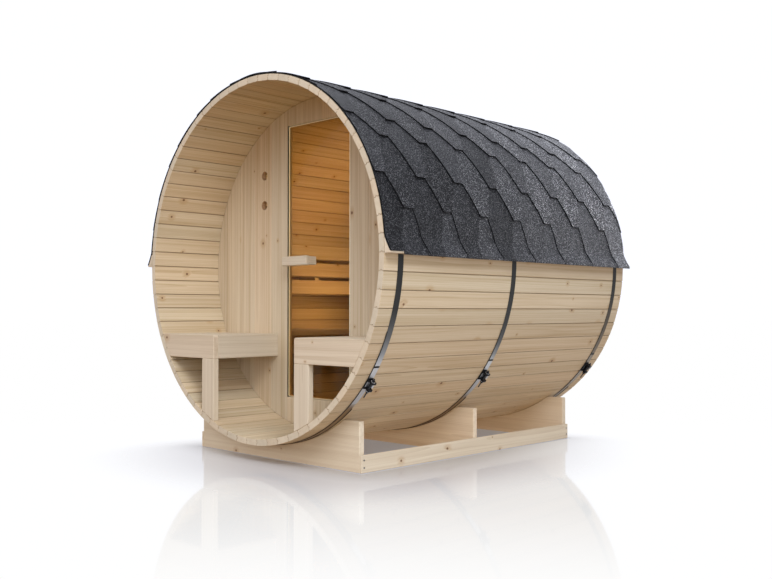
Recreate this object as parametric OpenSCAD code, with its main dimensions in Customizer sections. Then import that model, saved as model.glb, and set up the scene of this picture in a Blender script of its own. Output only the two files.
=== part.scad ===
// Barrel sauna: a stave cylinder on three saddle cradles, with a recessed
// front wall and glass door, two porch benches and a shingled upper half.
// Millimetres. +Z up, front faces -Y, the barrel's axis runs along Y.
// Origin: on the ground, under the middle of the barrel.

/* [Barrel] */
// Length of the staves
barrel_len = 2400; // [2100:10:2600]
// Outer radius over the staves
barrel_r = 1110; // [1100:1:1120]
// Thickness of one stave
stave_t = 38; // [34:1:42]
// Number of staves round the barrel
stave_n = 70; // [70:1:70]
// Height of the barrel's axis above the ground
axis_z = 1210; // [1205:1:1215]
// Joint between neighbouring staves
stave_gap = 0.8; // [0.4:0.1:1.2]

/* [Base] */
// Height of the cradle boards at their ends
cradle_h = 286; // [270:1:300]
// Thickness of a cradle board
cradle_t = 38; // [34:1:44]
// Half width of the cradle boards
cradle_half = 745; // [720:1:760]
// Distance of the outer cradles' faces from the middle
cradle_y = 1024; // [1000:1:1030]
// Height of the skid planks
skid_h = 100; // [80:1:120]
// Thickness of the skid planks
skid_t = 18; // [16:1:24]

/* [Front wall and door] */
// Depth of the open porch
porch_d = 520; // [480:1:540]
// Thickness of the end walls
wall_t = 38; // [34:1:42]
// Half width of the door opening
door_half = 300; // [290:1:305]
// Offset of the door opening from the middle
door_x = 6; // [0:1:8]
// Bottom of the door opening
door_z0 = 336; // [320:1:350]
// Top of the door opening
door_z1 = 2131; // [2110:1:2140]
// Gap round the glass
door_gap = 7.5; // [6:0.5:8]
// Thickness of the glass
glass_t = 8; // [6:1:8]
// Set-back of the glass behind the wall's face
glass_back = 4.5; // [4:0.5:6]
// Radius of the two vent holes
vent_r = 29; // [22:1:34]
// Recess of the rear wall from the barrel's end
rear_recess = 80; // [60:1:100]

/* [Porch benches] */
// Distance of the benches' inner faces from the middle
bench_x = 389; // [385:1:400]
// Height of the bench tops
bench_z = 751; // [740:1:760]
// Height of the bench rails
rail_h = 149; // [130:1:160]
// Thickness of the bench rails
rail_t = 38; // [34:1:42]
// Width of a bench post
post_w = 125; // [100:1:135]

/* [Inner bench] */
// Height of the inner bench's top
seat_z = 770; // [760:1:780]
// Thickness of the inner seat boards
seat_t = 35; // [30:1:38]
// Distance of the inner bench's front edge from the middle
seat_x = 390; // [380:1:420]
// Width of a backrest slat
slat_w = 110; // [100:1:115]
// Gap between the backrest slats
slat_gap = 30; // [20:1:35]
// Lean of the backrest
slat_lean = 16.6; // [12:0.1:18]

/* [Roof and bands] */
// Build-up of the shingle roof
roof_t = 10.8; // [8:0.1:12]
// Flare of the roof at its eaves
eave_out = 41; // [30:1:45]
// Width of a steel band
band_w = 42; // [36:1:46]
// Thickness of a steel band
band_t = 1.5; // [1:0.1:1.8]
// Angle of the band tensioners below the horizontal
ten_a = 39; // [36:1:42]

/* [Hidden] */

hl = barrel_len / 2;
r_in = barrel_r - stave_t;
pitch = 360 / stave_n;
// clear radius of what stands inside the staves
r_clear = r_in * cos(pitch / 2) - 0.4;
wall_y = -hl + porch_d;
glass_y = wall_y + glass_back;
rear_y = hl - rear_recess - wall_t;
roof_r = barrel_r + 2.2;
band_y = [-1074, -75, 1087];
// vertical axis of the door, clear of the wall's face
hinge_x = door_x + door_half + 8;
hinge_y = wall_y - 12;
pin_r = 3;
knuckle_r = 7;
// middle heights of the two hinges
hinge_z = [645, 2085];
spruce = "burlywood";

function pol(r, a) = [r * cos(a), axis_z + r * sin(a)];
// outward flare of the eave course at a height above the eave
function flare(h) = h >= 90 ? 0 : eave_out * pow((90 - h) / 90, 1.2);
function roof_x(h) = sqrt(pow(roof_r + roof_t, 2) - h * h) + flare(h);

// extrudes an outline drawn in X and Z from y0 to y1
module along_y(y0, y1) translate([0, y1, 0]) rotate([90, 0, 0]) linear_extrude(height = y1 - y0) children();

// cylinder on the barrel's axis
module drum(r, y0, y1) translate([0, y0, axis_z]) rotate([-90, 0, 0]) cylinder(r = r, h = y1 - y0, $fn = 180);

// keeps what lies inside the staves
module inside() intersection() {
    union() children();
    drum(r_clear, -hl, hl);
}

module stave(i) {
    a0 = i * pitch;
    a1 = a0 + pitch;
    ko = stave_gap / 2 / barrel_r * 180 / PI;
    ki = stave_gap / 2 / r_in * 180 / PI;
    along_y(-hl, hl) polygon([pol(r_in, a0 + ki), pol(barrel_r, a0 + ko), pol(barrel_r, a1 - ko), pol(r_in, a1 - ki)]);
}

module staves(i0, i1) color(spruce) for (i = [i0:i1]) stave(i);

module staves_upper_right() staves(0, 11);
module staves_crown() staves(12, 22);
module staves_upper_left() staves(23, 34);
module staves_lower_left() staves(35, 46);
module staves_floor() staves(47, 57);
module staves_lower_right() staves(58, 69);

// wedge along each eave, with a nose under the lowest course
module eave_wedge() along_y(-hl, hl) translate([0, axis_z]) polygon(concat(
    [[roof_r + 45, -5.6], [roof_r + 45, 5.2]],
    [for (h = concat([5.2], [for (k = [10:5:75]) k])) [roof_x(h) - roof_t - 0.4, h]],
    [for (h = [75:-5:-5]) [sqrt(roof_r * roof_r - h * h), h]], [[roof_r - 0.01, -5.6]]));
module eave_battens() color(spruce) {
    eave_wedge();
    mirror([1, 0, 0]) eave_wedge();
}

// quarter shell of the roof above its eave course
module roof_quarter() color("dimgray") intersection() {
    difference() {
        drum(roof_r + roof_t, -hl, hl);
        drum(roof_r, -hl - 1, hl + 1);
    }
    translate([0.2, -hl, axis_z + 100.4]) cube([1300, barrel_len, 1300]);
}
module roof_shingles_right() roof_quarter();
module roof_shingles_left() mirror([1, 0, 0]) roof_quarter();

// the lowest course, which bends out over the batten
module eave_course() color("dimgray") along_y(-hl, hl) polygon(concat(
    [for (h = concat([5.6], [for (k = [10:10:100]) k])) [roof_x(h), axis_z + h]],
    [for (h = concat([for (k = [100:-10:10]) k], [5.6])) [roof_x(h) - roof_t, axis_z + h]]));
module eave_shingles_right() eave_course();
module eave_shingles_left() mirror([1, 0, 0]) eave_course();

module band(y) color("silver") difference() {
    drum(barrel_r + 0.15 + band_t, y - band_w / 2, y + band_w / 2);
    drum(barrel_r + 0.15, y - band_w, y + band_w);
}
module band_front() band(band_y[0]);
module band_middle() band(band_y[1]);
module band_rear() band(band_y[2]);

// plate with two standing lugs, a body between them and a draw bolt through all
module tensioner(y) color("darkslategray") translate([0, y, axis_z]) rotate([0, ten_a, 0])
    translate([barrel_r + 0.35 + band_t, 0, 0]) {
        translate([0, -21, -38]) cube([4, 42, 74]);
        for (z = [-34, 16]) translate([3, -21, z]) cube([35, 42, 15]);
        translate([3, -17, -20]) cube([31, 30, 37]);
        translate([25, 0, -84]) cylinder(r = 4, h = 136, $fn = 32);
        translate([25, 0, -44]) cylinder(r = 8.5, h = 11, $fn = 6);
        translate([25, 0, 30]) cylinder(r = 8.5, h = 10, $fn = 6);
    }
module tensioner_front() tensioner(band_y[0]);
module tensioner_middle() tensioner(band_y[1]);
module tensioner_rear() tensioner(band_y[2]);

module cradle(y0) color(spruce) difference() {
    translate([-cradle_half, y0, 0]) cube([2 * cradle_half, cradle_t, cradle_h]);
    drum(barrel_r + 0.4, y0 - 5, y0 + cradle_t + 5);
}
module cradle_front() cradle(-cradle_y);
module cradle_middle() cradle(-cradle_t / 2);
module cradle_rear() cradle(cradle_y - cradle_t);

module skid_right() color(spruce) translate([cradle_half, -cradle_y, 0]) cube([skid_t, 2 * cradle_y, skid_h]);
module skid_left() color(spruce) translate([-cradle_half - skid_t, -cradle_y, 0]) cube([skid_t, 2 * cradle_y, skid_h]);

// part of the round front wall between two X and two Z limits
module wall_piece(x0, x1, z0, z1) color(spruce) intersection() {
    drum(r_clear, wall_y, wall_y + wall_t);
    translate([x0, wall_y - 1, z0]) cube([x1 - x0, wall_t + 2, z1 - z0]);
}
module front_wall_left() difference() {
    wall_piece(-1200, door_x - door_half, 0, 2500);
    for (z = [1621, 1823]) translate([-538, wall_y - 5, z]) rotate([-90, 0, 0]) cylinder(r = vent_r, h = wall_t + 10, $fn = 48);
}
module front_wall_right() wall_piece(door_x + door_half, 1200, 0, 2500);
module front_wall_head() wall_piece(door_x - door_half, door_x + door_half, door_z1, 2500);
module front_wall_sill() wall_piece(door_x - door_half, door_x + door_half, 0, door_z0);

// four strips in the opening, a little behind the glass
module door_stops() color(spruce) translate([door_x, glass_y + glass_t + 5, 0]) {
    lap = 11.5;
    d = 14;
    for (s = [-1, 1]) translate([s > 0 ? door_half - lap : -door_half, 0, door_z0]) cube([lap, d, door_z1 - door_z0]);
    for (z = [door_z0, door_z1 - lap]) translate([-door_half + lap + 0.4, 0, z]) cube([2 * (door_half - lap) - 0.8, d, lap]);
}

module rear_wall() color(spruce) drum(r_clear, rear_y, rear_y + wall_t);

// one porch bench, drawn on the +X side
module bench_rails() color(spruce) inside() {
    // front rail, its inner top corner eased
    difference() {
        translate([bench_x, -hl, bench_z - rail_h]) cube([800, rail_t, rail_h]);
        difference() {
            translate([bench_x - 1, -hl - 1, bench_z - 14]) cube([15, rail_t + 2, 15]);
            translate([bench_x + 14, -hl - 2, bench_z - 14]) rotate([-90, 0, 0]) cylinder(r = 14, h = rail_t + 4, $fn = 48);
        }
    }
    // side rail, back to the wall
    translate([bench_x, -hl + rail_t + 0.4, bench_z - rail_h]) cube([rail_t, porch_d - rail_t - 0.8, rail_h]);
}
module bench_post() color(spruce) inside()
    translate([bench_x, -hl, 100]) cube([post_w, rail_t + 2, bench_z - rail_h - 100.4]);
module bench_seat() color(spruce) inside() {
    n = 4;
    y0 = -hl + rail_t + 0.4;
    w = (porch_d - rail_t - 0.8 - (n - 1) * 6) / n;
    for (i = [0:n - 1]) translate([bench_x + rail_t + 0.4, y0 + i * (w + 6), bench_z - 28]) cube([800, w, 28]);
}
module porch_right_rails() bench_rails();
module porch_right_post() bench_post();
module porch_right_seat() bench_seat();
module porch_left_rails() mirror([1, 0, 0]) bench_rails();
module porch_left_post() mirror([1, 0, 0]) bench_post();
module porch_left_seat() mirror([1, 0, 0]) bench_seat();

// inner bench on the -X side, from the front wall to the rear wall
in_y0 = wall_y + wall_t + 0.4;
in_y1 = rear_y - 0.4;
in_len = in_y1 - in_y0;
frame_y = [in_y0 + 60, (in_y0 + in_y1) / 2 - 22, in_y1 - 105];
module inner_bench_seat() color(spruce) inside() for (i = [0:3])
    translate([-seat_x - 120 - i * 130, in_y0, seat_z - seat_t]) cube([120, in_len, seat_t]);
module inner_bench_frame() color(spruce) inside() for (y = frame_y) {
    translate([-1000, y, seat_z - seat_t - 90.4]) cube([1000 - seat_x - 12, 45, 90]);
    translate([-seat_x - 72, y, 100]) cube([60, 45, seat_z - seat_t - 190.8]);
}

// leaning backrest, its front face meets these points
back_x = -820;
back_z = 1031;
module backrest_slats() color(spruce) translate([back_x, 0, back_z]) rotate([0, -slat_lean, 0])
    for (i = [0:2]) translate([-25, in_y0 + 20, i * (slat_w + slat_gap)]) cube([25, in_len - 40, slat_w]);
// brackets between the slats and the staves, level at their lower edge
bracket_y = [in_y0 + 60, 80, in_y1 - 105];
function on_back(z) = [back_x - 25.4 * cos(slat_lean) - z * sin(slat_lean), back_z - 25.4 * sin(slat_lean) + z * cos(slat_lean)];
module backrest_posts() color(spruce) inside() for (y = bracket_y) {
    p0 = on_back(45);
    p1 = on_back(3 * slat_w + 2 * slat_gap - 30);
    along_y(y, y + 45) polygon([p0, p1, [-1100, p1[1]], [-1100, p0[1]]]);
}

// fixed hinge leaves on the wall's face, each with two knuckles and the pin
module hinge_leaf(z) translate([0, 0, z]) {
    translate([hinge_x + 8, wall_y - 3, -36]) cube([44, 3, 72]);
    for (k = [-36, 13.5]) {
        translate([hinge_x, hinge_y, k]) cylinder(r = knuckle_r, h = 22.5, $fn = 48);
        translate([hinge_x + 4, wall_y - 12, k]) cube([14, 12, 22.5]);
    }
    translate([hinge_x, hinge_y, -27]) cylinder(r = pin_r, h = 54, $fn = 48);
}
module door_hinge_leaves() color("silver") for (z = hinge_z) hinge_leaf(z);

module door_glass() color("peru") translate([door_x - door_half + door_gap, glass_y, door_z0 + door_gap])
    cube([2 * (door_half - door_gap), glass_t, door_z1 - door_z0 - 2 * door_gap]);

// wooden grip on two spacers
module door_handle() color(spruce) {
    translate([-254, glass_y - 87, 1195]) cube([243, 32, 62]);
    for (x = [-254, -41]) translate([x, glass_y - 56, 1195]) cube([30, 56, 62]);
}

// moving hinge arms: a plate on the glass, a crank out of the opening, a knuckle
module hinge_arm(z) translate([0, 0, z]) {
    difference() {
        union() {
            translate([hinge_x - 60, glass_y - 4, -24]) cube([38, 4, 48]);
            translate([hinge_x - 28, hinge_y - 6, -12.5]) cube([8, glass_y - hinge_y + 6, 25]);
            translate([hinge_x - 28, hinge_y - 6, -12.5]) cube([28, 8, 25]);
            translate([hinge_x, hinge_y, -12.5]) cylinder(r = knuckle_r, h = 25, $fn = 48);
        }
        translate([hinge_x, hinge_y, -40]) cylinder(r = pin_r + 0.05, h = 80, $fn = 48);
    }
}
module door_hinge_arms() color("silver") for (z = hinge_z) hinge_arm(z);

staves_upper_right();
staves_crown();
staves_upper_left();
staves_lower_left();
staves_floor();
staves_lower_right();
eave_battens();
roof_shingles_left();
roof_shingles_right();
eave_shingles_left();
eave_shingles_right();
band_front();
band_middle();
band_rear();
tensioner_front();
tensioner_middle();
tensioner_rear();
cradle_front();
cradle_middle();
cradle_rear();
skid_left();
skid_right();
front_wall_left();
front_wall_right();
front_wall_head();
front_wall_sill();
door_stops();
rear_wall();
porch_left_rails();
porch_left_post();
porch_left_seat();
porch_right_rails();
porch_right_post();
porch_right_seat();
inner_bench_seat();
inner_bench_frame();
backrest_slats();
backrest_posts();
door_hinge_leaves();
door_glass();
door_handle();
door_hinge_arms();
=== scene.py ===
import bpy
import bmesh
import math
import random
import numpy as np
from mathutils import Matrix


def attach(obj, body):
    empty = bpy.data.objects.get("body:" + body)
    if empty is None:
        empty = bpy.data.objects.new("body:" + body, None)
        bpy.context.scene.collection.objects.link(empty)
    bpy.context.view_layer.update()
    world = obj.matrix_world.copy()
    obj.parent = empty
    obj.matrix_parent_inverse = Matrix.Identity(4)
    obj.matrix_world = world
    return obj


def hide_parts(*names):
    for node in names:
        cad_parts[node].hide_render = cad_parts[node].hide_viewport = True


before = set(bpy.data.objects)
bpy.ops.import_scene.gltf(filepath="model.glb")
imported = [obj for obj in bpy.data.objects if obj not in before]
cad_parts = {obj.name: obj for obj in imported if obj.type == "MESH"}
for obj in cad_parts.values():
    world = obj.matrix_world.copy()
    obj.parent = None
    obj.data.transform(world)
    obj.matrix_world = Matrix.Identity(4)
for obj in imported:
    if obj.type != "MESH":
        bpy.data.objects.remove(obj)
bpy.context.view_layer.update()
scene = bpy.context.scene

# ---------------------------------------------------------------- camera
cam_data = bpy.data.cameras.new("camera")
cam_data.sensor_fit = "HORIZONTAL"
cam_data.sensor_width = 36.0
cam_data.lens = 43.563
cam_data.clip_start = 0.05
cam_data.clip_end = 500.0
cam = bpy.data.objects.new("camera", cam_data)
cam.location = (4.488, -4.658, 0.903)
cam.rotation_euler = (math.pi / 2 + 0.023, 0.0, 0.7717)
scene.collection.objects.link(cam)
scene.camera = cam

# ---------------------------------------------------------------- sizes, metres
HL = 1.200            # half length of the barrel
R_OUT = 1.110         # over the staves
R_IN = 1.072
ZC = 1.210            # height of the barrel's axis
N_STAVE = 70
PITCH = 2 * math.pi / N_STAVE
R_CLEAR = R_IN * math.cos(PITCH / 2) - 0.0004
WALL_Y0, WALL_Y1 = -0.680, -0.642
REAR_Y0, REAR_Y1 = 1.082, 1.120
DOOR_X0, DOOR_X1 = -0.294, 0.306
DOOR_Z0, DOOR_Z1 = 0.336, 2.131
GLASS_Y0, GLASS_Y1 = -0.6755, -0.6675
VENT_X, VENT_Z, VENT_R = -0.538, (1.621, 1.823), 0.029
BAND_Y = (-1.074, -0.075, 1.087)
BAND_W = 0.042
EPS = 1e-9


# ---------------------------------------------------------------- material helpers
class Nodes:
    def __init__(self, name):
        self.mat = bpy.data.materials.new(name)
        self.mat.use_nodes = True
        self.t = self.mat.node_tree
        self.t.nodes.clear()
        self.out = self.t.nodes.new("ShaderNodeOutputMaterial")

    def new(self, kind, **props):
        n = self.t.nodes.new("ShaderNode" + kind)
        for k, v in props.items():
            setattr(n, k, v)
        return n

    def put(self, socket, value):
        if isinstance(value, bpy.types.NodeSocket):
            self.t.links.new(value, socket)
        else:
            socket.default_value = value

    def math(self, op, a, b=0.0, clamp=False):
        n = self.new("Math", operation=op, use_clamp=clamp)
        self.put(n.inputs[0], a)
        self.put(n.inputs[1], b)
        return n.outputs[0]

    def vec(self, op, a, b=(0.0, 0.0, 0.0)):
        n = self.new("VectorMath", operation=op)
        self.put(n.inputs[0], a)
        if op == "SCALE":
            self.put(n.inputs["Scale"], b)
        elif op != "LENGTH":
            self.put(n.inputs[1], b)
        return n.outputs["Value"] if op in ("LENGTH", "DISTANCE", "DOT_PRODUCT") else n.outputs["Vector"]

    def mix(self, fac, a, b, blend="MIX"):
        n = self.new("Mix", data_type="RGBA", blend_type=blend)
        n.clamp_factor = True
        self.put(n.inputs[0], fac)
        self.put(n.inputs[6], a if isinstance(a, bpy.types.NodeSocket) else tuple(a) + (1.0,))
        self.put(n.inputs[7], b if isinstance(b, bpy.types.NodeSocket) else tuple(b) + (1.0,))
        return n.outputs[2]

    def span(self, v, a, b, c=0.0, d=1.0, smooth=False):
        n = self.new("MapRange", interpolation_type="SMOOTHSTEP" if smooth else "LINEAR")
        n.clamp = True
        for i, x in enumerate((v, a, b, c, d)):
            self.put(n.inputs[i], x)
        return n.outputs[0]

    def noise(self, vec, scale=1.0, detail=2.0, rough=0.5):
        n = self.new("TexNoise", noise_dimensions="3D")
        self.put(n.inputs["Vector"], vec)
        n.inputs["Scale"].default_value = scale
        n.inputs["Detail"].default_value = detail
        n.inputs["Roughness"].default_value = rough
        return n.outputs[0]

    def voronoi(self, vec, scale=1.0):
        n = self.new("TexVoronoi", voronoi_dimensions="3D", feature="F1")
        self.put(n.inputs["Vector"], vec)
        n.inputs["Scale"].default_value = scale
        return n

    def attr(self, name):
        return self.new("Attribute", attribute_name=name).outputs["Vector"]

    def split(self, vec):
        n = self.new("SeparateXYZ")
        self.put(n.inputs[0], vec)
        return n.outputs[0], n.outputs[1], n.outputs[2]

    def bump(self, height, strength, distance):
        n = self.new("Bump")
        n.inputs["Strength"].default_value = strength
        n.inputs["Distance"].default_value = distance
        self.put(n.inputs["Height"], height)
        return n.outputs[0]

    def principled(self, **sockets):
        n = self.new("BsdfPrincipled")
        for k, v in sockets.items():
            self.put(n.inputs[k.replace("_", " ")], v)
        self.t.links.new(n.outputs[0], self.out.inputs["Surface"])
        return n


def wood(name, light, dark, knots=0.5, tone=1.0, ring=0.0075, spread=0.12, joint=0.0, rings=0.42, streaks=0.42, fine=34.0):
    """Planed softwood. The attribute grain holds a board's own along, across and depth in metres; board holds three
    random numbers of that board."""
    N = Nodes(name)
    g = N.attr("grain")
    b = N.attr("board")
    bx, by, bz = N.split(b)
    along, across, depth = N.split(g)
    off = N.vec("MULTIPLY", b, (61.0, 23.0, 41.0))
    # knots: one point for each cell, as long stretched cells along the board
    kp = N.vec("ADD", N.vec("MULTIPLY", g, (2.3, 8.0, 0.0)), N.vec("MULTIPLY", b, (97.0, 31.0, 53.0)))
    vor = N.voronoi(kp)
    dv = N.vec("MULTIPLY", N.vec("SUBTRACT", kp, vor.outputs["Position"]), (1 / 2.3 / 1.15, 1 / 8.0, 0.0))
    d = N.vec("LENGTH", dv)
    sc = N.new("SeparateColor")
    N.put(sc.inputs[0], vor.outputs["Color"])
    has = N.math("GREATER_THAN", sc.outputs[0], 1.0 - knots)
    rad = N.math("ADD", N.math("MULTIPLY", sc.outputs[1], 0.0075), 0.0028)
    kr = N.math("ADD", N.math("MULTIPLY", has, rad), 0.00002)
    core = N.span(d, N.math("MULTIPLY", kr, 1.15), N.math("MULTIPLY", kr, 0.55), smooth=True)
    halo = N.math("MULTIPLY", N.span(d, N.math("MULTIPLY", kr, 5.0), kr, smooth=True), has)
    # growth rings round a pith that lies below the face
    drift = N.noise(N.vec("ADD", N.vec("MULTIPLY", g, (0.8, 4.0, 4.0)), off), 1.0, 2.0, 0.5)
    cy = N.math("MULTIPLY", N.math("SUBTRACT", by, 0.5), 0.15)
    cz = N.math("ADD", N.math("MULTIPLY", bz, 0.10), 0.025)
    comb = N.new("CombineXYZ")
    N.put(comb.inputs[1], N.math("SUBTRACT", across, cy))
    N.put(comb.inputs[2], N.math("ADD", depth, cz))
    rr = N.vec("LENGTH", comb.outputs[0])
    rr = N.math("ADD", rr, N.math("MULTIPLY", drift, 0.020))
    rr = N.math("ADD", rr, N.math("MULTIPLY", halo, 0.004))
    late = N.math("POWER", N.math("FRACT", N.math("MULTIPLY", rr, 1.0 / ring)), 4.0)
    # streaks and fibres along the board
    streak = N.noise(N.vec("ADD", N.vec("MULTIPLY", g, (0.55, fine, fine)), off), 1.0, 3.0, 0.55)
    broad = N.noise(N.vec("ADD", N.vec("MULTIPLY", g, (1.1, 9.0, 9.0)), off), 1.0, 2.0, 0.5)
    fibre = N.noise(N.vec("ADD", N.vec("MULTIPLY", g, (11.0, 480.0, 480.0)), off), 1.0, 2.0, 0.6)
    t = N.math("MULTIPLY", late, rings * tone)
    t = N.math("ADD", t, N.math("MULTIPLY", N.span(streak, 0.40, 0.72), streaks * tone))
    t = N.math("ADD", t, N.math("MULTIPLY", N.span(broad, 0.35, 0.75), 0.22 * tone))
    t = N.math("ADD", t, N.math("MULTIPLY", N.math("SUBTRACT", fibre, 0.5), 0.30 * tone))
    t = N.math("ADD", t, N.math("MULTIPLY", halo, 0.25), clamp=True)
    col = N.mix(t, light, dark)
    # each board has its own tone and a slightly redder or yellower cast
    cast = N.mix(by, (1.025, 0.985, 0.955), (0.985, 1.005, 1.02))
    col = N.mix(1.0, col, cast, "MULTIPLY")
    col = N.vec("SCALE", col, N.math("ADD", N.math("MULTIPLY", bx, spread), 1.0 - spread / 2))
    col = N.mix(N.math("MULTIPLY", halo, 0.30), col, (0.50, 0.30, 0.13))
    col = N.mix(N.math("MULTIPLY", core, 0.92), col, (0.150, 0.068, 0.028))
    if joint:
        # painted shade in the V-joints along a board's edges, darker on the inner faces
        wide = N.math("ABSOLUTE", across)
        inside = N.math("LESS_THAN", depth, 0.0)
        edge = N.math("MULTIPLY", N.span(wide, joint - 0.0042, joint - 0.0006, smooth=True), N.math("SUBTRACT", 1.0, inside))
        col = N.mix(N.math("MULTIPLY", edge, 0.44), col, (0.185, 0.108, 0.054))
        edge = N.math("MULTIPLY", N.span(wide, joint - 0.0052, joint - 0.0024, smooth=True), inside)
        col = N.mix(N.math("MULTIPLY", edge, 0.54), col, (0.165, 0.084, 0.034))
    rough = N.math("ADD", N.math("MULTIPLY", fibre, 0.16), 0.50)
    hgt = N.math("SUBTRACT", N.math("MULTIPLY", fibre, 0.6), N.math("MULTIPLY", late, 0.5))
    hgt = N.math("SUBTRACT", hgt, N.math("MULTIPLY", core, 0.6))
    p = N.principled(Base_Color=col, Roughness=rough, Normal=N.bump(hgt, 0.35, 0.0006))
    p.inputs["Specular IOR Level"].default_value = 0.28
    return N.mat


def shingles(name):
    """Bitumen shingle with mineral granules. board holds a tone, which carries a painted sheen that grows towards the
    rear, how many light granules there are, and a number.
    """
    N = Nodes(name)
    g = N.attr("grain")
    bx, by, bz = N.split(N.attr("board"))
    fine = N.voronoi(g, 430.0)
    mid = N.voronoi(g, 175.0)
    coarse = N.voronoi(g, 180.0)
    cf, cm, cc = N.new("SeparateColor"), N.new("SeparateColor"), N.new("SeparateColor")
    N.put(cf.inputs[0], fine.outputs["Color"])
    N.put(cm.inputs[0], mid.outputs["Color"])
    N.put(cc.inputs[0], coarse.outputs["Color"])
    cloud = N.noise(g, 6.0, 3.0, 0.55)
    col = N.mix(cf.outputs[0], (0.003, 0.0032, 0.004), (0.016, 0.017, 0.020))
    # small grey granules everywhere, and larger pale ones on the speckled tabs
    dot = N.math("MULTIPLY", N.span(mid.outputs["Distance"], 0.52, 0.36), N.span(cm.outputs[1], 0.40, 0.95))
    col = N.mix(N.math("MULTIPLY", dot, 0.90), col, (0.165, 0.169, 0.180))
    fleck = N.math("MULTIPLY", N.span(coarse.outputs["Distance"], 0.50, 0.34), N.math("GREATER_THAN", cc.outputs[0], 0.64))
    fleck = N.math("MULTIPLY", fleck, by)
    col = N.mix(fleck, col, N.mix(cc.outputs[2], (0.34, 0.345, 0.355), (1.0, 1.0, 1.0)))
    pit = N.math("MULTIPLY", N.span(cc.outputs[1], 0.62, 0.70), by)
    col = N.mix(N.math("MULTIPLY", pit, 0.5), col, (0.002, 0.002, 0.003))
    # the board tone, lighter towards the rear as painted sheen, and broad clouds scale the colour
    val = N.math("ADD", N.math("MULTIPLY", bx, 1.75), N.math("MULTIPLY", cloud, 0.40))
    col = N.vec("SCALE", col, N.math("ADD", val, 0.19))
    hgt = N.math("ADD", N.math("MULTIPLY", fine.outputs["Distance"], 60.0), N.math("MULTIPLY", fleck, 0.8))
    rough = N.math("ADD", N.math("MULTIPLY", cf.outputs[1], 0.18), 0.36)
    p = N.principled(Base_Color=col, Roughness=rough, Normal=N.bump(hgt, 0.40, 0.0010))
    N.put(p.inputs["Specular IOR Level"], N.math("ADD", N.math("MULTIPLY", bx, 0.80), 0.10))
    return N.mat


def bitumen(name):
    """Black cut edge of a shingle, also laid on a tab's top beside its left edge as painted shadow."""
    N = Nodes(name)
    g = N.attr("grain")
    n = N.noise(g, 300.0, 3.0, 0.6)
    p = N.principled(Base_Color=N.mix(n, (0.002, 0.002, 0.002), (0.010, 0.010, 0.011)),
                     Roughness=N.math("ADD", N.math("MULTIPLY", n, 0.2), 0.7), Normal=N.bump(n, 0.3, 0.0006))
    p.inputs["Specular IOR Level"].default_value = 0.15
    return N.mat


def metal(name, dull, bright, rough, along=(6.0, 900.0, 900.0), metallic=1.0, stain=None):
    """Rolled metal with scratches along the grain; board.x goes from the dull to the bright colour, which on the bands
    and their locks is a painted highlight, board.z to a stain.
    """
    N = Nodes(name)
    g = N.attr("grain")
    bx, by, bz = N.split(N.attr("board"))
    scr = N.noise(N.vec("MULTIPLY", g, along), 1.0, 2.0, 0.6)
    blot = N.noise(N.vec("MULTIPLY", g, (9.0, 30.0, 30.0)), 1.0, 3.0, 0.6)
    col = N.mix(bx, dull, bright)
    if stain:
        col = N.mix(bz, col, stain)
    col = N.vec("SCALE", col, N.math("ADD", N.math("MULTIPLY", blot, 0.35), 0.82))
    r = N.math("ADD", N.math("MULTIPLY", scr, 0.18), rough - 0.06)
    r = N.math("ADD", r, N.math("MULTIPLY", blot, 0.10))
    p = N.principled(Base_Color=col, Roughness=r, Normal=N.bump(scr, 0.12, 0.0003))
    p.inputs["Metallic"].default_value = metallic
    return N.mat


def rubber(name, col):
    N = Nodes(name)
    co = N.new("TexCoord").outputs["Object"]
    n = N.noise(co, 240.0, 3.0, 0.6)
    p = N.principled(Base_Color=N.mix(n, col, tuple(c * 1.9 + 0.002 for c in col)),
                     Roughness=N.math("ADD", N.math("MULTIPLY", n, 0.25), 0.45), Normal=N.bump(n, 0.2, 0.0004))
    p.inputs["Specular IOR Level"].default_value = 0.4
    return N.mat


def satin(name, col, rough):
    """Brushed hinge metal on the carried-over pieces, by object coordinates."""
    N = Nodes(name)
    co = N.new("TexCoord").outputs["Object"]
    scr = N.noise(N.vec("MULTIPLY", co, (90.0, 90.0, 1400.0)), 1.0, 2.0, 0.6)
    blot = N.noise(co, 45.0, 3.0, 0.55)
    c = N.mix(N.math("MULTIPLY", blot, 0.6), col, tuple(x * 0.66 for x in col))
    r = N.math("ADD", N.math("MULTIPLY", scr, 0.16), rough)
    p = N.principled(Base_Color=c, Roughness=r, Normal=N.bump(scr, 0.10, 0.0003))
    p.inputs["Metallic"].default_value = 1.0
    return N.mat


def tinted_glass(name, tint, edge=False):
    """Clear bronze glass: what is behind shows through the tint, and a mirror film brightens towards the rim."""
    N = Nodes(name)
    co = N.new("TexCoord").outputs["Object"]
    smear = N.noise(N.vec("MULTIPLY", co, (2.0, 2.0, 0.8)), 1.0, 3.0, 0.55)
    tr = N.new("BsdfTransparent")
    N.put(tr.inputs["Color"], N.mix(smear, tint, tuple(c * 0.97 for c in tint)))
    gl = N.new("BsdfGlossy")
    gl.inputs["Color"].default_value = (0.95, 0.97, 0.96, 1.0)
    N.put(gl.inputs["Roughness"], N.span(smear, 0.3, 0.8, 0.01, 0.035))
    fr = N.new("Fresnel")
    fr.inputs["IOR"].default_value = 1.13
    ms = N.new("MixShader")
    N.t.links.new(fr.outputs[0], ms.inputs[0])
    N.t.links.new(tr.outputs[0], ms.inputs[1])
    N.t.links.new(gl.outputs[0], ms.inputs[2])
    N.t.links.new(ms.outputs[0], N.out.inputs["Surface"])
    return N.mat


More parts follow.
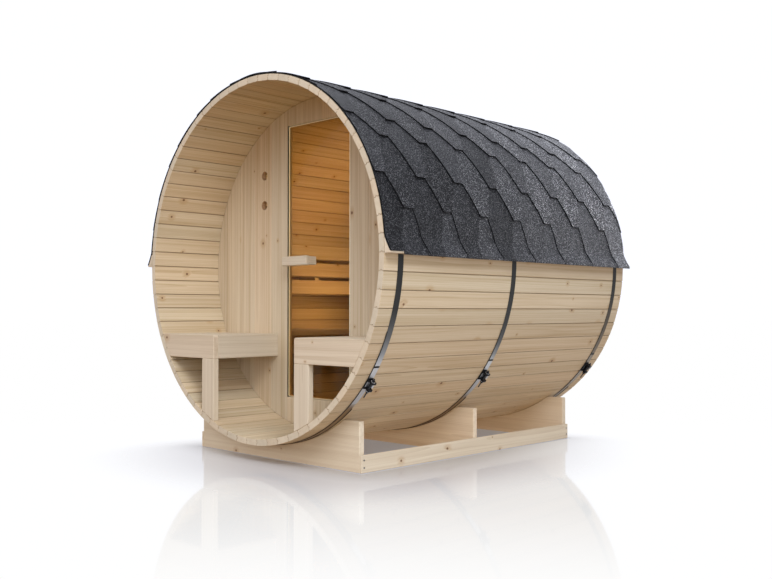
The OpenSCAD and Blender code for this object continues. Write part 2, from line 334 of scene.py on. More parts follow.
def glass_rim_glow(name):
    """Ground rim of the pane, painted pale with an emission glow as painted light, though it is no lamp."""
    N = Nodes(name)
    co = N.new("TexCoord").outputs["Object"]
    n = N.noise(co, 60.0, 2.0, 0.5)
    p = N.principled(Base_Color=N.mix(n, (0.80, 0.78, 0.62), (0.90, 0.88, 0.74)),
                     Roughness=N.math("ADD", N.math("MULTIPLY", n, 0.15), 0.25))
    p.inputs["Specular IOR Level"].default_value = 0.4
    p.inputs["Emission Color"].default_value = (0.82, 0.78, 0.58, 1.0)
    p.inputs["Emission Strength"].default_value = 0.26
    return N.mat


SPRUCE_L, SPRUCE_D = (0.658, 0.546, 0.368), (0.468, 0.343, 0.184)
M_STAVE = wood("stave_wood", SPRUCE_L, SPRUCE_D, knots=0.42, joint=0.0490, streaks=0.58, fine=40.0)
M_WALL = wood("wall_wood", (0.664, 0.554, 0.388), (0.472, 0.349, 0.202), knots=0.42, tone=1.10, rings=0.18, streaks=0.66, fine=56.0)
# the vent holes' lining is painted dark brown as painted shade in the recess
M_VENT_SHADE = wood("vent_lining_painted_shade", (0.330, 0.218, 0.122), (0.230, 0.145, 0.076), knots=0.0, tone=0.8)
M_FRAME = wood("frame_wood", (0.662, 0.574, 0.428), (0.498, 0.396, 0.263), knots=0.26, streaks=0.52)
M_END = wood("stave_end_grain", (0.636, 0.552, 0.406), (0.497, 0.405, 0.275), knots=0.0, tone=0.8)
# the base's spruce is painted paler than the same wood elsewhere, as painted light on the shaded cradles and skids
M_BASE_PAINTED_PALER = wood("base_wood", (0.735, 0.636, 0.466), (0.575, 0.459, 0.305), knots=0.38, streaks=0.55)
M_SHINGLE = shingles("shingle_granules")
M_CUT_AND_SHADOW = bitumen("shingle_cut_edge_and_painted_shadow")
M_BAND = metal("band_steel", (0.036, 0.035, 0.034), (0.80, 0.81, 0.83), 0.34, stain=(0.540, 0.370, 0.210))
M_CLAMP = metal("clamp_black", (0.012, 0.012, 0.014), (0.55, 0.55, 0.56), 0.38, metallic=0.6)
M_SCREW = metal("screw_steel", (0.20, 0.20, 0.20), (0.34, 0.34, 0.34), 0.34)
M_HINGE = satin("hinge_steel", (0.62, 0.62, 0.63), 0.26)
# black rubber for the door's seal, also used on the bands as painted shadow
M_SEAL_AND_SHADOW = rubber("seal_rubber_and_painted_shadow", (0.006, 0.006, 0.006))
M_GLASS = tinted_glass("door_glass", (0.92, 0.79, 0.60))
M_RIM_GLOW = glass_rim_glow("glass_rim_glow")


# ---------------------------------------------------------------- mesh helpers
rng = random.Random(4852)


def rnd3():
    return (rng.random(), rng.random(), rng.random())


class Build:
    """Collects closed solids, each with its grain coordinates and random numbers, and makes one piece of them."""

    def __init__(self):
        self.v, self.f, self.g, self.b, self.m, self.n = [], [], [], [], [], 0

    def add(self, verts, faces, grain, board, mats=0):
        verts = np.asarray(verts, float).reshape(-1, 3)
        grain = np.asarray(grain, float).reshape(-1, 3)
        self.v.append(verts)
        self.g.append(grain)
        self.b.append(np.tile(np.asarray(board, float), (len(verts), 1)) if np.ndim(board) == 1 else np.asarray(board, float))
        self.f += [tuple(i + self.n for i in f) for f in faces]
        self.m += [mats] * len(faces) if isinstance(mats, int) else list(mats)
        self.n += len(verts)

    def done(self, name, mats, body="sauna", nodes=(), smooth=None):
        me = bpy.data.meshes.new(name)
        V = np.concatenate(self.v)
        me.from_pydata(V.tolist(), [], self.f)
        for nm, data in (("grain", np.concatenate(self.g)), ("board", np.concatenate(self.b))):
            a = me.attributes.new(nm, "FLOAT_VECTOR", "POINT")
            a.data.foreach_set("vector", data.astype(np.float32).ravel())
        for m in (mats if isinstance(mats, (list, tuple)) else [mats]):
            me.materials.append(m)
        me.polygons.foreach_set("material_index", self.m)
        bm = bmesh.new()
        bm.from_mesh(me)
        bmesh.ops.recalc_face_normals(bm, faces=bm.faces)
        bm.to_mesh(me)
        bm.free()
        if smooth is not None:
            me.polygons.foreach_set("use_smooth", [True] * len(me.polygons))
            me.set_sharp_from_angle(angle=math.radians(smooth))
        me.update()
        ob = bpy.data.objects.new(name, me)
        scene.collection.objects.link(ob)
        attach(ob, body)
        if nodes:
            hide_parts(*nodes)
        return ob


def ccw(poly):
    p = np.asarray(poly, float)
    a = np.sum(p[:, 0] * np.roll(p[:, 1], -1) - np.roll(p[:, 0], -1) * p[:, 1])
    return p if a > 0 else p[::-1].copy()


def inset(poly, d):
    p = np.asarray(poly, float)
    e1 = p - np.roll(p, 1, 0)
    e2 = np.roll(p, -1, 0) - p
    e1 /= np.maximum(np.linalg.norm(e1, axis=1, keepdims=True), 1e-12)
    e2 /= np.maximum(np.linalg.norm(e2, axis=1, keepdims=True), 1e-12)
    n1 = np.stack([-e1[:, 1], e1[:, 0]], 1)
    n2 = np.stack([-e2[:, 1], e2[:, 0]], 1)
    den = np.maximum(1 + np.sum(n1 * n2, 1), 0.4)
    return p + d * (n1 + n2) / den[:, None]


def ease(poly, c, limit=25.0):
    """Cuts each sharp corner of an outline back by c."""
    p = ccw(poly)
    out = []
    n = len(p)
    for i in range(n):
        a, b, d = p[i - 1], p[i], p[(i + 1) % n]
        u, w = a - b, d - b
        lu, lw = np.linalg.norm(u), np.linalg.norm(w)
        ang = math.degrees(math.acos(max(-1, min(1, float(np.dot(-u, w) / (lu * lw))))))
        if ang > limit:
            cc = min(c, lu * 0.35, lw * 0.35)
            out += [b + u / lu * cc, b + w / lw * cc]
        else:
            out.append(b)
    return np.array(out)


def clip_disc(poly, r, sides=360):
    """Part of a convex outline in (x, z) that lies inside the barrel's bore."""
    p = [np.array(q, float) for q in ccw(poly)]
    for k in range(sides):
        a = 2 * math.pi * (k + 0.5) / sides
        nx, nz = math.cos(a), math.sin(a)
        lim = r * math.cos(math.pi / sides)
        dist = [q[0] * nx + (q[1] - ZC) * nz - lim for q in p]
        if max(dist) <= 0:
            continue
        out = []
        for i in range(len(p)):
            j = (i + 1) % len(p)
            if dist[i] <= 0:
                out.append(p[i])
            if (dist[i] < 0) != (dist[j] < 0) and abs(dist[i] - dist[j]) > 1e-12:
                t = dist[i] / (dist[i] - dist[j])
                out.append(p[i] + (p[j] - p[i]) * t)
        p = out
        if len(p) < 3:
            return None
    # drop points that fall on one another
    q = [p[0]]
    for a in p[1:]:
        if np.linalg.norm(a - q[-1]) > 2e-4:
            q.append(a)
    if np.linalg.norm(q[0] - q[-1]) < 2e-4:
        q.pop()
    return np.array(q)


def prism(B, poly, w0, w1, place, grain, board, bev=0.0015, mat=0, cap=None, fixed_u=None, side=None):
    """Solid of an outline (u, v) swept from w0 to w1 with its end edges bevelled."""
    p = ccw(poly)
    q = inset(p, bev)
    if fixed_u is not None:
        hold = np.abs(p[:, 0] - fixed_u) < 1e-7
        q[hold, 0] = p[hold, 0]
    n = len(p)
    V, G = [], []
    for w, r in ((w0, q), (w0 + bev, p), (w1 - bev, p), (w1, q)):
        ww = np.full(n, w)
        V.append(np.stack(place(r[:, 0], r[:, 1], ww), 1))
        G.append(np.stack(grain(r[:, 0], r[:, 1], ww), 1))
    F = [tuple(range(n))[::-1]]
    M = [mat if cap is None else cap]
    for k in range(3):
        for i in range(n):
            j = (i + 1) % n
            F.append((k * n + i, k * n + j, (k + 1) * n + j, (k + 1) * n + i))
            M.append(mat if side is None else side[i])
    F.append(tuple(3 * n + i for i in range(n)))
    M.append(mat if cap is None else cap)
    B.add(np.concatenate(V), F, np.concatenate(G), board, M)


AX = {0: (1, 2, 0), 1: (0, 2, 1), 2: (0, 1, 2)}


def bar(B, lo, hi, axis, board=None, bev=0.0022, mat=0, turn=None):
    """Eased board with its grain along an axis; turn maps its points into place."""
    iu, iv, iw = AX[axis]
    board = board or rnd3()
    cu, cv = (lo[iu] + hi[iu]) / 2, (lo[iv] + hi[iv]) / 2
    du, dv = hi[iu] - lo[iu], hi[iv] - lo[iv]
    poly = ease([(lo[iu], lo[iv]), (hi[iu], lo[iv]), (hi[iu], hi[iv]), (lo[iu], hi[iv])], bev)

    def place(u, v, w):
        c = [None] * 3
        c[iu], c[iv], c[iw] = u, v, w
        return turn(*c) if turn else c

    wide = du >= dv

    def grain(u, v, w):
        return (w, u - cu, v - cv) if wide else (w, v - cv, u - cu)

    prism(B, poly, lo[iw], hi[iw], place, grain, board, bev=bev * 0.8, mat=mat)


def xz_board(B, poly, y0, y1, grain_axis, board=None, bev=0.002, eased=0.002, mat=0, fixed_u=None):
    """Board cut to an outline in (x, z), from y0 to y1; its grain runs along x or z."""
    board = board or rnd3()
    p = ease(poly, eased) if eased else ccw(poly)
    cx, cz = p[:, 0].mean(), p[:, 1].mean()
    ym = (y0 + y1) / 2

    def grain(u, v, w):
        return (u, v - cz, w - ym) if grain_axis == "x" else (v, u - cx, w - ym)

    prism(B, p, y0, y1, lambda u, v, w: (u, w, v), grain, board, bev=bev, mat=mat, fixed_u=fixed_u)


def lathe(B, origin, axis, prof, seg, board, mat=0, six=False):
    """Turned solid: prof lists (distance along the axis, radius)."""
    o = np.array(origin, float)
    a = np.array(axis, float)
    a /= np.linalg.norm(a)
    h = np.array((0, 0, 1.0)) if abs(a[2]) < 0.8 else np.array((1.0, 0, 0))
    e1 = np.cross(a, h)
    e1 /= np.linalg.norm(e1)
    e2 = np.cross(a, e1)
    V, G = [], []
    for d, r in prof:
        for k in range(seg):
            t = 2 * math.pi * k / seg
            V.append(o + a * d + (e1 * math.cos(t) + e2 * math.sin(t)) * r)
            G.append((d, math.cos(t) * r, math.sin(t) * r))
    F = [tuple(range(seg))[::-1]]
    for i in range(len(prof) - 1):
        for k in range(seg):
            j = (k + 1) % seg
            F.append((i * seg + k, i * seg + j, (i + 1) * seg + j, (i + 1) * seg + k))
    F.append(tuple((len(prof) - 1) * seg + k for k in range(seg)))
    B.add(V, F, G, board, mat)


def screw(B, at, out, r=0.0052, mat=0):
    """Low pan head with a sunk six-lobe recess."""
    b = (rng.random(), rng.random(), rng.random())
    lathe(B, at, out, [(-0.0006, r * 0.96), (0.0004, r), (0.0013, r * 0.96), (0.0020, r * 0.78), (0.0023, r * 0.48),
                       (0.0009, r * 0.40), (0.0007, r * 0.05)], 18, b, mat)


# ---------------------------------------------------------------- staves
def stave_profile(co, ci, gap):
    """Tongue-and-groove section of a stave: across, distance from the barrel's axis."""
    h = PITCH / 2
    qo, qi = R_OUT * math.cos(h), R_IN * math.cos(h)
    s = lambda q: q * math.tan(h) - gap / 2
    qm = (qo + qi) / 2
    tt, tl, gt, gl = 0.0048, 0.0055, 0.0051, 0.0062
    return [
        (-s(qo) + co, qo), (s(qo) - co, qo), (s(qo - co), qo - co),
        (s(qm + tt), qm + tt), (s(qm + tt) + tl, qm + tt - 0.0010), (s(qm - tt) + tl, qm - tt + 0.0010), (s(qm - tt), qm - tt),
        (s(qi + ci), qi + ci), (s(qi) - ci, qi), (-s(qi) + ci, qi), (-s(qi + ci), qi + ci),
        (-s(qm - gt), qm - gt), (-s(qm - gt) + gl, qm - gt + 0.0006), (-s(qm + gt) + gl, qm + gt - 0.0006), (-s(qm + gt), qm + gt),
        (-s(qo - co), qo - co),
    ]


Q_MID = (R_OUT + R_IN) / 2 * math.cos(PITCH / 2)


def stave(B, i):
    th = (i + 0.5) * PITCH
    c, s = math.cos(th), math.sin(th)
    jit = rng.uniform(-0.0006, 0.0006)

    def place(u, v, w):
        q = v + jit
        return q * c - u * s, w, ZC + q * s + u * c

    # most joints are tight, a few stand a little open
    open_joint = 0.0008 if rng.random() < 0.25 else 0.0
    prof = stave_profile(rng.uniform(0.0034, 0.0046), rng.uniform(0.0028, 0.0046), rng.uniform(0.0008, 0.0015) + open_joint)
    prism(B, prof, -HL + rng.uniform(0, 0.0012), HL - rng.uniform(0, 0.0012), place,
          lambda u, v, w: (w, u, v - Q_MID), rnd3(), bev=0.0009, cap=1)


for nm, i0, i1 in (("staves_upper_right", 0, 11), ("staves_crown", 12, 22), ("staves_upper_left", 23, 34),
                   ("staves_lower_left", 35, 46), ("staves_floor", 47, 57), ("staves_lower_right", 58, 69)):
    B = Build()
    for i in range(i0, i1 + 1):
        stave(B, i)
    B.done("visual_" + nm, [M_STAVE, M_END], nodes=(nm,))

# ---------------------------------------------------------------- eave battens
def flare(h):
    """Outward bend of the lowest course at a height over the barrel's axis."""
    return 0.041 * np.power(np.clip((0.090 - np.maximum(h, 0.0)) / 0.090, 0, 1), 1.2)


B = Build()
for s in (-1, 1):
    roof_r, roof_t = 1.1122, 0.0108
    under = [(math.sqrt((roof_r + roof_t) ** 2 - h * h) + float(flare(h)) - roof_t - 0.0008, h) for h in np.linspace(0.0052, 0.075, 10)]
    barrel = [(math.sqrt(roof_r ** 2 - h * h), h) for h in np.linspace(0.075, -0.0056, 8)]
    wedge = [(roof_r + 0.0436, -0.0056), (roof_r + 0.0450, -0.0042), (roof_r + 0.0450, 0.0040), (roof_r + 0.0438, 0.0052)] + under + barrel
    prism(B, [(s * x, ZC + h) for x, h in wedge], -HL, HL, lambda u, v, w: (u, w, v),
          lambda u, v, w: (w, v - ZC, u - s * 1.13), rnd3(), bev=0.0008)
B.done("visual_eave_battens", M_FRAME, nodes=("eave_battens",))

# ---------------------------------------------------------------- shingle roof
ROOF_R = 1.1119
FLATS = [0.28, 12.55, 22.6, 36.0, 44.2, 58.6, 67.0, 78.2, 86.4, 94.0]   # lower edges of the courses, degrees from the eave
TAB_P, TAB_W = 0.324, 0.075
T_SH = 0.0068
H3, H2, H1 = 0.0126, 0.0067, 0.0014


def roof_point(side, y, a, h):
    r = ROOF_R + h
    up = r * np.sin(a)
    return side * (r * np.cos(a) + flare(up)), y, ZC + up


def sheet_solid(B, side, rows, board, nc, rim=0.0):
    """Closed thin solid from rows of (angle deg, left y, right y, top height, bottom height); rim is a black strip
    along the left edge, painted shadow that the tab's edge would cast."""
    rows = [r for r in rows]
    V, G = [], []
    top, bot = [], []
    n = 0
    sc = 1.115
    for which in (3, 4):
        for r in rows:
            ys = np.linspace(r[1], r[2], nc)
            if rim:
                e = min(rim, (r[2] - r[1]) * 0.3)
                ys = np.concatenate([[r[1]], np.linspace(r[1] + e, r[2], nc - 1)])
            a = np.full(nc, math.radians(r[0]))
            x, y, z = roof_point(side, ys, a, np.full(nc, r[which]))
            V += list(np.stack([np.asarray(x), y, np.asarray(z)], 1))
            G += [(yy, math.radians(r[0]) * sc * side, board[2] * 3.0) for yy in ys]
    m = len(rows)
    idx = lambda w, i, k: w * m * nc + i * nc + k
    F, M = [], []
    for i in range(m - 1):
        for k in range(nc - 1):
            F.append((idx(0, i, k), idx(0, i, k + 1), idx(0, i + 1, k + 1), idx(0, i + 1, k)))
            F.append((idx(1, i, k), idx(1, i + 1, k), idx(1, i + 1, k + 1), idx(1, i, k + 1)))
            # the first column of a tab's top on its left edge takes the black edge material, painted shadow
            M += [1 if rim and k == 0 and rows[i][1] > -HL else 0, 0]
    n_face = len(F)
    for i in range(m - 1):
        for k in (0, nc - 1):
            F.append((idx(0, i, k), idx(0, i + 1, k), idx(1, i + 1, k), idx(1, i, k)))
    for i in (0, m - 1):
        for k in range(nc - 1):
            F.append((idx(0, i, k), idx(1, i, k), idx(1, i, k + 1), idx(0, i, k + 1)))
    B.add(V, F, G, board, M + [1] * (len(F) - n_face))


def course_heights(row, a, lift=0.0):
    f0, f1, f2 = FLATS[row], FLATS[row + 1], FLATS[row + 2]
    a = max(a, f0)
    if a <= f1:
        top = H3 + (H2 - H3) * (a - f0) / (f1 - f0)
    else:
        top = H2 + (H1 - H2) * min(1.15, (a - f1) / (f2 - f1))
    near = max(0.0, 1 - (a - f0) / 3.0)
    top += lift * near * near
    return max(top, 0.0010), max(top - T_SH, 0.0002)


def tab(B, side, row, c, y_end=HL + 0.0006, drop=0.0):
    f0, f1, f2 = FLATS[row], FLATS[row + 1], FLATS[row + 2]
    ac = f1 + 0.28
    at = min(f2 + 1.2, 89.7)
    w = 0.125 if row == 0 else TAB_W
    lift = rng.uniform(0.0, 0.0012) if row else 0.0
    skew = rng.uniform(-0.003, 0.003)
    rows = []
    if drop:
        # the hanging lower edge, in line with the tab above it
        top, bot = course_heights(row, f0, lift)
        for a in (f0 - drop, f0 - drop * 0.5):
            rows.append([a, c + skew - w / 2 - 0.004, c + skew + w / 2 + 0.004, top, bot])
    na = max(5, int((ac - f0) / 1.3))
    for i in range(na + 1):
        t = i / na
        a = f0 + (ac - f0) * t
        half = (w / 2) * (1 - t) + (TAB_P / 2 - TAB_W / 2) * t
        rows.append([a, c + skew - half, c + skew + half, *course_heights(row, a, lift)])
    nb = max(4, int((at - ac) / 1.4))
    for i in range(nb + 1):
        a = ac + 0.01 + (at - ac - 0.01) * i / nb
        if a >= 89.8:
            break
        rows.append([a, c - TAB_P / 2 + 0.0003, c + TAB_P / 2 - 0.0003, *course_heights(row, a)])
    out = []
    for r in rows:
        l, q = max(r[1], -y_end), min(r[2], y_end)
        if q - l < 0.0006:
            if l >= y_end - 0.001:
                l, q = y_end - 0.0006, y_end
            else:
                l, q = -y_end, -y_end + 0.0006
        out.append([r[0], l, q, r[3], r[4]])
    # tabs get lighter towards the rear, and carry more pale granules there, as a painted sheen
    painted_sheen = max(0.0, (c + HL) / (2 * HL)) ** 2.2
    sparkle = (0.92 if row % 2 else 0.50) * rng.uniform(0.85, 1.0) * (0.75 + 0.6 * painted_sheen)
    sheet_solid(B, side, out, (0.22 * rng.random() + 1.02 * painted_sheen, sparkle, rng.random()), 7, rim=0.0045 if row else 0.003)


for side, nm in ((1, "right"), (-1, "left")):
    B = Build()
    # starter strip along the eave
    cuts = [-HL - 0.0006, -1.0995] + [-1.0995 + 0.3286 * k for k in range(1, 7)] + [HL + 0.0006]
    for y0, y1 in zip(cuts[:-1], cuts[1:]):
        rows = []
        for a, top in ((-0.60, 0.0098), (-0.20, 0.0100), (0.28, 0.0100), (0.75, 0.0084), (1.4, 0.0066), (2.5, 0.0058), (4.0, 0.0054),
                       (6.0, 0.0048), (8.0, 0.0042), (10.0, 0.0035), (12.0, 0.0028), (14.0, 0.0022)):
            if a < 0.2 and y0 < -1.15:
                continue
            rows.append([a, y0, y1, top, max(top - 0.0046, 0.0002)])
        # the starter strip's tone rises towards the rear as a painted sheen
        sheet_solid(B, side, rows, (0.10 + 0.55 * max(0.0, (y0 + HL) / (2 * HL)) + 0.15 * rng.random(), 0.40, rng.random()), 8)
    for row in range(0, 8):
        first = -1.000 if row % 2 else -1.162
        k = -1
        while True:
            c = first + TAB_P * k
            k += 1
            if c - TAB_P / 2 > HL - 0.002:
                break
            if c + TAB_P / 2 < -HL + 0.002:
                continue
            # the lowest course hangs over the batten's nose, all but its first tab
            tab(B, side, row, c, drop=0.9 if row == 0 and c > -1.1 else 0.0)
    B.done("shingle_courses_" + nm, [M_SHINGLE, M_CUT_AND_SHADOW], nodes=("roof_shingles_" + nm, "eave_shingles_" + nm), smooth=28)

# ridge caps, lapped from the rear to the front
B = Build()
n_cap = 15
for k in range(n_cap):
    y1 = HL + 0.0006 - k * (2 * HL + 0.0012 - 0.24) / (n_cap - 1)
    y0 = max(y1 - 0.24, -HL - 0.0006)
    V, G, F = [], [], []
    na, ny = 15, 7
    # caps nearer the rear get a lighter tone, a painted sheen
    bd = (0.3 * rng.random() + 0.5 * (1 - k / n_cap), 0.25 if k % 2 else 0.7, rng.random())
    for w in (0, 1):
        for j in range(ny):
            t = j / (ny - 1)
            y = y0 + (y1 - y0) * t
            top = 0.0122 - 0.0026 * t
            for i in range(na):
                a = math.radians(90 - 6.6 + 13.2 * i / (na - 1))
                r = ROOF_R + top - 0.0030 * abs(2 * i / (na - 1) - 1) ** 2 - w * 0.0032
                V.append((r * math.cos(a), y, ZC + r * math.sin(a)))
                G.append((y, a * 1.115, bd[2] * 3))
    idx = lambda w, j, i: w * ny * na + j * na + i
    for j in range(ny - 1):
        for i in range(na - 1):
            F.append((idx(0, j, i), idx(0, j, i + 1), idx(0, j + 1, i + 1), idx(0, j + 1, i)))
            F.append((idx(1, j, i), idx(1, j + 1, i), idx(1, j + 1, i + 1), idx(1, j, i + 1)))
    n_face = len(F)
    for j in range(ny - 1):
        for i in (0, na - 1):
            F.append((idx(0, j, i), idx(0, j + 1, i), idx(1, j + 1, i), idx(1, j, i)))
    for j in (0, ny - 1):
        for i in range(na - 1):
            F.append((idx(0, j, i), idx(1, j, i), idx(1, j, i + 1), idx(0, j, i + 1)))
    B.add(V, F, G, bd, [0] * n_face + [1] * (len(F) - n_face))
B.done("ridge_caps", [M_SHINGLE, M_CUT_AND_SHADOW], smooth=28)


# ---------------------------------------------------------------- bands and tensioners
def arc_strip(B, y0, y1, r0, r1, a0, a1, bright, mat=0, step=1.0, brown=lambda a: 0.0):
    """Curved strip; bright(a) gives its painted highlight at an angle in degrees, brown(a) its stain."""
    n = max(2, int(abs(a1 - a0) / step)) + 1
    e = 0.0004
    prof = [(y0 + e, r1), (y0, r1 - e), (y0, r0), (y1, r0), (y1, r1 - e), (y1 - e, r1)]
    m = len(prof)
    V, G, bd, F = [], [], [], []
    z = rng.random()
    for i in range(n):
        ad = a0 + (a1 - a0) * i / (n - 1)
        a = math.radians(ad)
        for y, r in prof:
            V.append((r * math.cos(a), y, ZC + r * math.sin(a)))
            G.append((a * 1.11, y, r))
            bd.append((bright(ad), z, brown(ad)))
    for i in range(n - 1):
        for k in range(m):
            j = (k + 1) % m
            F.append((i * m + k, i * m + j, (i + 1) * m + j, (i + 1) * m + k))
    F.append(tuple(range(m)))
    F.append(tuple((n - 1) * m + k for k in range(m)))
    B.add(V, F, G, np.array(bd), mat)


TEN = math.radians(-39.0)
ER = np.array((math.cos(TEN), 0.0, math.sin(TEN)))
ET = np.array((-math.sin(TEN), 0.0, math.cos(TEN)))


# painted highlight on the strips round their tensioners, strong on the front one, hardly any on the rear one
band_highlight = {"front": 0.92, "middle": 0.72, "rear": 0.12}
HIGHLIGHT_BY_ANGLE = {"front": ([-180, -62, -54, -50, -47, -33, -29, -24, -16, 180], [0.0, 0.0, 0.0, 0.10, 0.92, 0.82, 0.38, 0.14, 0.02, 0.0]),
        "middle": ([-180, -60, -54, -51, -48, -33, -31, -27, -20, 180], [0.0, 0.0, 0.0, 0.10, 0.70, 0.55, 0.28, 0.10, 0.02, 0.0]),
        "rear": ([-180, -60, -45, -33, -20, 180], [0.0, 0.0, 0.03, 0.03, 0.0, 0.0])}

STAIN = {"front": ([-180, -150, -50, -47, 180], [0.0, 0.70, 0.62, 0.0, 0.0]),
         "middle": ([-180, -150, -51, -48, 180], [0.0, 0.70, 0.62, 0.0, 0.0]),
         "rear": ([-180, -150, -45, -28, -10, 180], [0.0, 0.32, 0.26, 0.18, 0.0, 0.0])}


for nm, yb in zip(("front", "middle", "rear"), BAND_Y):
    B = Build()
    h = BAND_W / 2
    painted_highlight = lambda a: float(np.interp(a, *HIGHLIGHT_BY_ANGLE[nm]))
    brown = lambda a: float(np.interp(a, *STAIN[nm]))
    arc_strip(B, yb - h, yb + h, 1.1102, 1.1117, -220.0, 139.5, painted_highlight, brown=brown)
    # lapped ends under the tensioner, bright with the band's painted highlight
    lap = lambda a: 0.24 if nm == "rear" else 0.0
    arc_strip(B, yb - h + 0.001, yb + h - 0.001, 1.1120, 1.1134, -33.6, -37.0, lambda a: 0.95 * band_highlight[nm], brown=lap)
    arc_strip(B, yb - h + 0.001, yb + h - 0.001, 1.1120, 1.1134, -47.5, -41.0, lambda a: 0.95 * band_highlight[nm], brown=lap)
    # black strips along the band's front and rear edges and across its lapped end, painted shadow of the band's edge
    arc_strip(B, yb - h - 0.0035, yb - h + 0.0020, 1.1119, 1.1140, -100.0, -22.0, lambda a: 0.0, mat=1)
    arc_strip(B, yb + h - 0.0020, yb + h + 0.0030, 1.1119, 1.1140, -100.0, -50.0, lambda a: 0.0, mat=1)
    arc_strip(B, yb - h + 0.0005, yb + h - 0.0005, 1.1119, 1.1137, -33.0, -33.5, lambda a: 0.0, mat=1, step=0.2)
    B.done("band_strip_" + nm, [M_BAND, M_SEAL_AND_SHADOW], nodes=("band_" + nm,), smooth=25)

    B = Build()
    base = 1.11185
    L = lambda x, y, z: tuple(np.array((0.0, yb, ZC)) + ER * (base + x) + np.array((0, y, 0.0)) + ET * z)

    def block(x0, x1, y0, y1, z0, z1, bd, bev=0.0012, mat=0):
        def turn(x, y, z):
            P = np.array((0.0, yb, ZC)) + np.outer(base + np.asarray(x, float), ER) + np.outer(np.asarray(z, float), ET)
            P[:, 1] += np.asarray(y, float)
            return P[:, 0], P[:, 1], P[:, 2]
        bar(B, (x0, y0, z0), (x1, y1, z1), 2, board=bd, bev=bev, mat=mat, turn=turn)

    dk = lambda: (0.0, rng.random(), 0.0)
    # the bright parts of the lock take the band's painted highlight
    lt = lambda: (band_highlight[nm], rng.random(), 0.0)
    # base plate on the strap
    block(0.0002, 0.0040, -0.0205, 0.0205, -0.0375, 0.0355, dk(), bev=0.0006)
    # standing lugs
    for z0, z1 in ((-0.0340, -0.0195), (0.0165, 0.0305)):
        block(0.0030, 0.0120, -0.0210, 0.0080, z0, z1, dk(), bev=0.0022)
        block(0.0030, 0.0380, -0.0075, 0.0210, z0, z1, dk(), bev=0.0022)
        block(0.0300, 0.0385, -0.0090, 0.0200, z0 - 0.0012, z1 + 0.0012, dk(), bev=0.0030)
    # strap between the lugs and the trunnion of the bolt, bright with the band's painted highlight, and dark cheeks
    block(0.0035, 0.0075, -0.0175, 0.0095, -0.0200, 0.0170, lt(), bev=0.0008, mat=1)
    block(0.0030, 0.0062, -0.0208, -0.0178, -0.0192, 0.0162, dk(), bev=0.0010)
    block(0.0035, 0.0240, 0.0095, 0.0195, -0.0192, 0.0162, dk(), bev=0.0024)
    block(0.0200, 0.0340, 0.0060, 0.0175, -0.0100, 0.0150, lt(), bev=0.0024, mat=1)
    # draw bolt with its thread, head, nut, and washers bright with the band's painted highlight
    prof = [(0.0, 0.0030), (0.0010, 0.0040)]
    d = 0.0010
    while d < 0.133:
        d += 0.00125
        prof.append((d, 0.0034))
        d += 0.00125
        prof.append((d, 0.0041))
    prof.append((0.136, 0.0030))
    lathe(B, L(0.0250, 0.0, -0.084), ET, prof, 12, (0.06, 0.4, 0.5), 0)
    for z0, ln in ((-0.0465, 0.0110), (0.0330, 0.0090)):
        lathe(B, L(0.0250, 0.0, z0), ET, [(0, 0.0078), (0.0010, 0.0088), (ln - 0.0010, 0.0088), (ln, 0.0078)], 6, dk(), 0)
    for z0 in (-0.0357, 0.0311):
        lathe(B, L(0.0250, 0.0, z0), ET, [(0, 0.0125), (0.0004, 0.0130), (0.0013, 0.0130), (0.0017, 0.0125)], 24, (0.9 * band_highlight[nm], 0.4, 0.0), 1)
    B.done("tension_lock_" + nm, [M_CLAMP, M_BAND], nodes=("tensioner_" + nm,), smooth=30)

# ---------------------------------------------------------------- base
R_SAD = 1.1104
for nm, y0 in (("front", -1.024), ("middle", -0.019), ("rear", 0.986)):
    B = Build()
    hw, top = 0.745, 0.286
    a_top = math.asin((top - ZC) / R_SAD)
    xs = R_SAD * math.cos(a_top)
    pts = [(-hw, 0.0), (hw, 0.0), (hw, top), (xs, top)]
    a0, a1 = a_top, -math.pi - a_top
    for i in range(1, 48):
        a = a0 + (a1 - a0) * i / 48
        pts.append((R_SAD * math.cos(a), ZC + R_SAD * math.sin(a)))
    pts += [(-xs, top), (-hw, top)]
    xz_board(B, pts, y0, y0 + 0.038, "x", bev=0.0022, eased=0.0022)
    B.done("visual_cradle_" + nm, M_BASE_PAINTED_PALER, nodes=("cradle_" + nm,))
for s, nm in ((-1, "left"), (1, "right")):
    B = Build()
    bar(B, (min(s * 0.745, s * 0.763), -1.024, 0.0), (max(s * 0.745, s * 0.763), 1.024, 0.100), 1, bev=0.0024)
    B.done("visual_skid_" + nm, M_BASE_PAINTED_PALER, nodes=("skid_" + nm,))
B = Build()
for s in (-1, 1):
    for y in (-1.005, 1.005):
        for z in (0.030, 0.072):
            screw(B, (s * 0.763, y + rng.uniform(-0.002, 0.002), z), (s, 0, 0))
B.done("skid_screws", M_SCREW, smooth=35)


